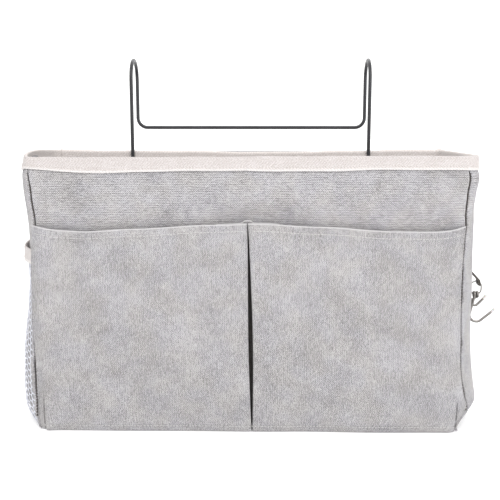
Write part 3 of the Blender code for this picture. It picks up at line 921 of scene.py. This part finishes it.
def front_pockets():
    """One cloth over the lower front: two faces, and between them an inverted pleat behind the gap."""
    rows, foot_rows = 110, 10
    foot, hem = 0.0006, 0.0078
    near_foot = np.linspace(0, 0.04, foot_rows)[:-1]
    level_share = np.concatenate([near_foot, np.linspace(0.04, 1.0, rows - foot_rows + 1)])
    tuck_deep, fold = 0.026, 0.0007
    # How far in front of the panel the faces stand at the gap, and the cloth tucked behind them
    face_level, back_level = 0.0067, 0.0041
    steps = np.radians(np.linspace(-90, 90, 7))

    def turn_back(x, width, front_level, behind_level):
        """The cloth's turn round a fold, from one level to the one behind it."""
        middle, radius = (front_level + behind_level) / 2, (front_level - behind_level) / 2
        return joined(x + width * np.cos(steps), FRONT - middle + radius * np.sin(steps))

    grid = []
    for share in level_share:
        z_mid = foot + share * (POCKET_TOP - foot)
        centre, gap = float(pleat_centre(z_mid)), float(pleat_gap(z_mid)) / 2
        # Behind the gap the cloth sinks into the front panel's hollow, except near the hem
        under_level = 0.0016 - 0.0062 * float(1 - ramp(z_mid, 0.160, 0.196))

        def half(sign):
            """One pocket's share of the cloth, from its side seam round its folds to behind the gap."""
            side = "right" if sign > 0 else "left"
            edge = float(through(z_mid, POCKET_EDGE[side]))
            by_seam = np.linspace(edge, edge - 0.016, 35)[:-1]
            xs = sign * np.concatenate([by_seam, np.linspace(edge - 0.016, sign * centre + gap + fold, 84)])
            stand = pocket_face(xs, z_mid, side)
            near = 1 - ramp(np.abs(xs - centre), 0.004, 0.05)
            stand = stand * (1 - near) + face_level * near
            stand[0] = min(stand[0], 0.0012)
            stand[1] = min(stand[1], 0.0016)
            face = joined(xs, FRONT - stand)
            lip = centre + sign * gap
            first = turn_back(lip + sign * fold, -sign * fold, face_level, back_level)
            behind = joined(np.linspace(lip + sign * 0.002, lip + sign * tuck_deep, 8), FRONT - back_level)
            last = turn_back(lip + sign * tuck_deep, sign * 0.0012, back_level, under_level)
            return np.concatenate([face, first, behind, last])

        left, right = half(-1), half(1)[::-1]
        middle = joined(np.linspace(left[-1, 0], right[0, 0], 14)[1:-1], FRONT - under_level)
        line = np.concatenate([left, middle, right])
        top = hem_height(line[:, 0])
        z = foot + share * (top - foot)
        off_centre = np.abs(line[:, 0] - centre)
        under = (line[:, 1] > FRONT - 0.0035) & (off_centre < tuck_deep)
        z = z + np.where(under, 0.0024 * (1 - ramp(off_centre, 0.0042, 0.0062)) * share, 0.0)
        grid.append(np.column_stack([line, z]))
    points = np.array(grid)

    # The faces' double hem with a groove at its stitches, and the seam at their foot
    below_hem = hem_height(points[..., 0]) - points[..., 2]
    step_out = 0.00080 * (1 - ramp(below_hem, hem - 0.0006, hem + 0.0004))
    groove = 0.00055 * hump(below_hem, hem - 0.0011, 0.0006)
    faces_out = points[..., 1] < FRONT - 0.0050
    points[..., 1] -= np.where(faces_out, step_out - groove, 0.0)
    low = 1 - ramp(points[..., 2], foot, foot + 0.0050)
    tuck = low * (FRONT - 0.0012 - points[..., 1]) * 0.35
    points[..., 1] += np.where(points[..., 1] < FRONT - 0.001, tuck, 0.0)
    seam_groove = 0.0006 * hump(points[..., 2], 0.0056, 0.0007)
    points[..., 1] += np.where(faces_out, seam_groove, 0.0)

    along = lengths_along(points[rows // 2])
    pleat_back = points.shape[1] // 2
    on_face = 40
    height = points[:, on_face, 2]
    height = height + HEM_UV / 1000 - height[-1]
    # u is 0 at the pleat's back, where the turned canvas paints its shade
    uv = cloth_uv(along - along[pleat_back], height)
    thick = 0.0010 + 0.0010 * (1 - ramp(below_hem, hem - 0.001, hem + 0.0005)) * faces_out
    canvas_piece("front_pocket", points, uv, thick, CANVAS_TURNED)

    for side, label in ((-1, "left"), (1, "right")):
        xs = np.linspace(side * 0.004, side * (SIDE - 0.003), 120)
        face = face_of_pocket(points, xs, hem_height(xs) - hem + 0.0011)
        stitches(f"{label}_hem_stitching", face, FORWARD, GREY_THREAD)
    xs = np.linspace(-SIDE + 0.004, SIDE - 0.004, 240)
    face = face_of_pocket(points, xs, np.full_like(xs, 0.0060))
    stitches("foot_seam_stitching", face, FORWARD, GREY_THREAD)


def face_of_pocket(points, xs, zs):
    """The points of the pockets' front face at given places, read from its grid."""
    found = []
    flat = points.reshape(-1, 3)
    flat = flat[flat[:, 1] < FRONT - 0.0008]
    for x, z in zip(xs, zs):
        near = np.argsort((flat[:, 0] - x) ** 2 + (flat[:, 2] - z) ** 2)[:6]
        found.append((x, flat[near, 1].min(), z))
    return np.array(found)


# ---- the net pocket


# Its foot, how far it stands off the end panel by height, the curl at its foot, and half its width
NET_FOOT = 0.0012
NET_STAND = [(0, 0.0006), (0.033, 0.0005), (0.069, 0.0005), (0.087, 0.0005), (0.114, 0.0006),
             (0.1435, 0.001), (0.158, 0.0018), (0.175, 0.0062)]
NET_CURL = 0.022
NET_REACH = 0.055


def net_surface(y, z):
    """The net's outer face: tight against the end panel under its tape, and full lower down."""
    y, z = np.broadcast_arrays(y, z)
    across = np.cos(math.pi * np.clip(y / NET_REACH, -1, 1) / 2) ** 0.7
    stand = 0.0009 + through(z, NET_STAND) * across
    rise = np.clip((z - NET_FOOT + 0.0040) / (NET_CURL * (0.5 + 0.5 * across)), 0, 1)
    curl = np.sqrt(1 - (1 - rise) ** 2)
    panel = seam_base("left", y, z) + SLIT / 2
    return joined(-(panel + (belly("left", y, z) + stand) * curl), y, z)


def net_pocket():
    """A knitted net of round-cornered six-sided holes, from strands of one thickness."""
    pitch_z, strand = 0.0061, 0.00044
    across = pitch_z * math.sqrt(3) / 2
    # The net's own width over the width it is stretched to
    stretch = 0.80
    high = NET_TOP - 0.004
    low = NET_FOOT + 0.0005
    half_arc = NET_REACH * stretch
    columns = int(2 * half_arc / across)
    count = int((high - low) / pitch_z)
    radius = pitch_z / math.sqrt(3)
    corners, faces, seen = [], [], {}

    def corner(a, z):
        key = (round(a * 1e5), round(z * 1e5))
        if key not in seen:
            seen[key] = len(corners)
            y = np.clip(a / stretch, -NET_REACH, NET_REACH)
            corners.append(net_surface(y, np.clip(z, low, high)))
        return seen[key]

    for c in range(columns):
        for r in range(count):
            a = -half_arc + across * (c + 0.5)
            z = low + pitch_z * (r + 0.5 + 0.5 * (c % 2))
            if z > high:
                continue
            ring = []
            for k in range(6):
                angle = math.radians(60 * k)
                ring.append(corner(a + radius * math.cos(angle), z + radius * math.sin(angle)))
            if len(set(ring)) == 6:
                faces.append(tuple(ring))
    piece = mesh_object("net_pocket_mesh", corners, faces, None, NET)
    wires = piece.modifiers.new("strands", "WIREFRAME")
    wires.thickness = 2 * strand
    wires.use_even_offset = False
    wires.use_boundary = True
    wires.use_replace = True
    soft = piece.modifiers.new("round", "SUBSURF")
    soft.levels = soft.render_levels = 1
    seat(piece, "pouch", "net_pocket")


def net_tape():
    """Folded tape on the net pocket's mouth, standing a little off the end panel."""
    columns = 70
    fold = NET_TAPE_HIGH[2] - NET_TAPE_LOW[2]
    ys = np.linspace(-NET_REACH, NET_REACH, columns)
    line = net_surface(ys, np.full(columns, NET_TOP))
    ahead = np.gradient(line[:, :2], axis=0)
    ahead /= np.linalg.norm(ahead, axis=1, keepdims=True)
    outward = joined(-ahead[:, 1], ahead[:, 0])
    grid = np.zeros((TAPE_POINTS, columns, 3))
    section = tape_section(0.0011, fold, 0.0003)
    for j in range(columns):
        lean = 0.0006 * hump(ys[j], -NET_REACH, 0.016) * (1 + section[:, 1] / fold)
        out = section[:, :1] + lean[:, None]
        grid[:, j, :2] = line[j, :2] + out * outward[j]
        grid[:, j, 2] = NET_TAPE_HIGH[2] + section[:, 1] + 0.0006 * np.sin(ys[j] * 90)
    tape_piece("net_pocket_tape", "net_pocket_binding", grid, lengths_along(line), 0.0006)
    out = np.column_stack([outward, np.zeros(columns)])
    stitches("net_tape_stitching", grid[-1 - SEWN_AT], out, CREAM_THREAD)


# ---- hanger, casing and hooks


def hanger_line():
    """The hanger wire's centre line, from its left foot round to its right one."""
    leg = WIRE_HIGH[0] - WIRE_RADIUS
    back_y = WIRE_HIGH[1] - WIRE_RADIUS
    span = back_y - LEG_Y
    crown_z = WIRE_HIGH[2] - WIRE_RADIUS - span / 2
    foot_z = WIRE_LOW[2] + WIRE_RADIUS
    bar_z, foot_bend, bar_bend = 0.277, 0.009, 0.010
    foot = arc((leg - foot_bend, foot_z + foot_bend), foot_bend, -90, 0, 12)
    foot = [(-x, LEG_Y, z) for x, z in foot]
    hook = [(-leg, y, z) for y, z in arc((LEG_Y + span / 2, crown_z), span / 2, 180, 0, 40)]
    corner = arc((leg - bar_bend, bar_z + bar_bend), bar_bend, 0, -90, 12)
    corner = [(-x, back_y, z) for x, z in corner]
    left = [(-0.015, LEG_Y, foot_z)] + foot + hook + corner
    return left + [(-x, y, z) for x, y, z in reversed(left)]


def hanger():
    piece = tube("hanger_wire", hanger_line(), WIRE_RADIUS, WIRE, resolution=8)
    seat(piece, "hanger", "hanger_frame")


def casing():
    """The strip of cloth that holds the hanger's feet: two sewn hems and a round tunnel between."""
    low, high = CASING_LOW, CASING_HIGH
    rows, columns = 46, 90
    centre = (low[2] + high[2]) / 2
    hem_y = high[1] - 0.0002
    bore = WIRE_RADIUS + 0.0016
    lower = [(hem_y - 0.0006, low[2]), (hem_y - 0.0006, centre - 0.0085), (hem_y - 0.0008, centre - 0.0055)]
    upper = [(y, 2 * centre - z) for y, z in reversed(lower)]
    profile = spaced(np.concatenate([lower, arc((LEG_Y, centre), bore, 270, 90, 16), upper]), rows)
    xs = np.linspace(low[0], high[0], columns)
    ripple = 0.00025 * np.sin(xs * 160) + 0.0002 * np.sin(xs * 71)
    grid = joined(xs, profile[:, :1] - ripple, profile[:, 1:])
    height = lengths_along(grid[:, 0])
    uv, flat = cloth_uv(xs + 3.0, height), (xs[-1] - xs[0], height[-1])
    canvas_piece("hanger_casing", grid, uv, THIN_CLOTH)
    for label, z in (("lower", low[2] + 0.004), ("upper", high[2] - 0.004)):
        stitches(f"casing_{label}_stitching", joined(xs, hem_y - 0.0007, z), FORWARD, GREY_THREAD)


def boards():
    """The stiffeners keep their plain shapes, in the look of board."""
    for name in ("back_board", "base_board"):
        node = bpy.data.objects.get(name)
        for slot in node.material_slots if node else ():
            slot.material = BOARD


def side_tab():
    """Webbing folded at its foot into a stiff tab, sewn flat at its top, with a hole through both layers."""
    y = (TAB_LOW[1] + TAB_HIGH[1]) / 2
    high, low = TAB_HIGH[2], TAB_LOW[2]
    layer, sewn, tab_width = 0.0009, 0.012, 0.0101
    rows, columns = 60, 14
    wall = [float(seam_base("right", y, z) + SLIT / 2 + belly("right", y, z)) for z in (high, high - sewn)]
    ply = np.array([(wall[0], high), (wall[1], high - sewn), (LINK_X + 0.0006, LINK_TOP + 0.001)])
    out = np.array([(1, 0), (1, 0.12), (1, 0.3)]) * (2 * layer + 0.0004)
    fold = arc((LINK_X + 0.0011 + layer + 0.0002, low + layer), layer + 0.0002, 0, -180, 8)
    profile = spaced(np.concatenate([ply + out, fold, ply[::-1] + (0.0003, 0)]), rows)
    ys = np.linspace(TAB_LOW[1], TAB_HIGH[1], columns)
    grid = joined(profile[:, :1], ys, profile[:, 1:])
    height = lengths_along(grid[:, 0])
    uv = cloth_uv(ys, height)
    piece = shell("side_tab_webbing", grid, layer, uv, WEBBING, flip=True)
    bpy.ops.mesh.primitive_cylinder_add(
        vertices=24, radius=0.0018, depth=0.02, location=(LINK_X, y, LINK_TOP), rotation=(0, math.pi / 2, 0)
    )
    drill = bpy.context.object
    cut = piece.modifiers.new("hole", "BOOLEAN")
    cut.object = drill
    cut.solver = "EXACT"
    bpy.context.view_layer.update()
    drilled = bpy.data.meshes.new_from_object(piece.evaluated_get(bpy.context.evaluated_depsgraph_get()))
    piece.modifiers.clear()
    piece.data = drilled
    bpy.data.objects.remove(drill)
    seat(piece, "pouch", "side_tab")


def metal(name, node, points, diameter, body, closed=False):
    seat(tube(name, points, diameter / 2, NICKEL, closed=closed), body, node)


def link():
    """The long oval of wire through the tab's hole."""
    half = 0.0052
    loop = arc((LINK_X, LINK_TOP - half), half, 0, 180, 32)
    loop = np.concatenate([loop, arc((LINK_X, LINK_FOOT + half), half, 180, 360, 32)])
    metal("link_wire", "link_ring", [(x, LINK_Y, z) for x, z in loop], LINK_WIRE, "link", closed=True)


def key_hook(name, body, side, drop, shank, lean, bend, rise, arm):
    """A J of wire hung by its eye, with a moulded ball on its end.

    The wire drops from the eye's top, runs down its leaning shank, turns through its bend and rises along its
    arm; lean and rise are in degrees, and the eye lies on one side of the link.
    """
    eye_radius, around = 0.00235, 24
    eye = np.array((LINK_X + side * 0.0015, LINK_Y, LINK_FOOT))
    curl = [eye + (0, side * y, z) for y, z in arc((0, 0), eye_radius, 255, 0, 30)]
    tilt, climb = math.radians(lean), math.radians(rise)
    start = np.array((-shank * math.sin(tilt), -drop - shank * math.cos(tilt)))
    centre = start + bend * np.array((math.cos(tilt), -math.sin(tilt)))
    turn = arc(centre, bend, 180 - lean, 270 + rise, 30)
    heading = np.array((math.cos(climb), 0, math.sin(climb)))
    top = eye + (0, side * eye_radius, 0)
    points = curl + [top + (x, 0, z) for x, z in [(0, -drop), *turn]]
    end = points[-1] + arm * heading
    metal(f"{name}_wire", name, points + [end], KEY_WIRE, body)

    # The ball's collar and then the ball: each ring's place along the arm and its radius
    rings = [(-0.0034, 0.00125), (-0.0030, 0.00155), (-0.0014, 0.00160)]
    rings += [(0.0004 + 0.0019 * math.sin(a), 0.0019 * math.cos(a)) for a in np.linspace(-0.75, 1.45, 12)]
    across = np.array((-heading[2], 0, heading[0]))
    verts = []
    for along, girth in rings:
        for a in np.linspace(0, 2 * math.pi, around, endpoint=False):
            spoke = across * math.cos(a) + np.array((0, 1.0, 0)) * math.sin(a)
            verts.append(end + heading * along + girth * spoke)
    faces = ring_faces(0, len(rings), around)
    seat(mesh_object(f"{name}_ball", verts, faces, None, TIP), body, f"{name}_tip")


# ---- studio and camera


def studio():
    """A white sweep of paper and four soft lights."""
    world = bpy.data.worlds.new("studio")
    bpy.context.scene.world = world
    world.use_nodes = True
    background = world.node_tree.nodes["Background"]
    background.inputs[0].default_value = (1.0, 1.0, 1.0, 1.0)
    background.inputs[1].default_value = 1.0

    floor = bpy.data.meshes.new("studio_floor")
    # Seen from its end: level, then a wide bend behind the object, then a wall
    bend_at, bend = 1.2, 1.5
    turns = np.linspace(0.1, math.pi / 2, 16)
    profile = [(-3.0, 0.0), (bend_at, 0.0)]
    profile += [(bend_at + bend * math.sin(a), bend - bend * math.cos(a)) for a in turns]
    profile += [(bend_at + bend, 5.0)]
    verts = [(x, y, z) for y, z in profile for x in (-5.0, 5.0)]
    faces = [(2 * i, 2 * i + 1, 2 * i + 3, 2 * i + 2) for i in range(len(profile) - 1)]
    floor.from_pydata(verts, [], faces)
    stage = put("studio_floor", floor)
    n = Nodes("studio_floor", 0.9)
    cloud = n.noise(n.coordinates(), 2.0)
    n.colour(n.mix(cloud, rgb(0.96, 0.96, 0.96), rgb(0.98, 0.98, 0.98)))
    n.shader.inputs["Emission Color"].default_value = rgb(1.0, 1.0, 1.0)
    n.shader.inputs["Emission Strength"].default_value = 0.15
    floor.materials.append(n.material)

    def area(name, place, aim, size, power):
        data = bpy.data.lights.new(name, "AREA")
        data.shape = "RECTANGLE"
        data.size, data.size_y = size
        data.energy = power
        lamp = put(name, data)
        lamp.location = place
        lamp.rotation_euler = (Vector(aim) - Vector(place)).to_track_quat("-Z", "Y").to_euler()

    area("key_light", (-0.4, -1.5, 1.6), (0, 0, 0.12), (1.8, 1.4), 14)
    area("fill_light", (1.3, -1.3, 1.0), (0, 0, 0.12), (1.4, 1.4), 13)
    area("back_light", (0.2, 1.2, 1.6), (0, 0.5, 0.0), (2.0, 1.0), 10)
    area("top_light", (0.0, -0.1, 2.2), (0, 0, 0), (2.6, 2.6), 8)


def camera():
    data = bpy.data.cameras.new("camera")
    data.lens = 59.3
    data.sensor_width = 36
    data.clip_start = 0.05
    eye = put("camera", data)
    eye.location = (0.0146, -0.7885, 0.2955)
    eye.rotation_euler = (math.radians(90 - 9.67), 0.0, math.radians(1.02))
    bpy.context.scene.camera = eye


bpy.context.scene.view_settings.view_transform = "Standard"
camera()
studio()
front_panel()
back_panel()
gusset("left")
gusset("right")
bottom_panel()
linings()
binding()
front_pockets()
net_pocket()
net_tape()
hanger()
casing()
boards()
side_tab()
link()
key_hook("long_hook", "long_key_hook", -1, drop=0.001, shank=0.018, lean=13, bend=0.007, rise=40, arm=0.016)
key_hook("short_hook", "short_key_hook", 1, drop=0.003, shank=0.0041, lean=55, bend=0.0035, rise=46,
         arm=0.0112)
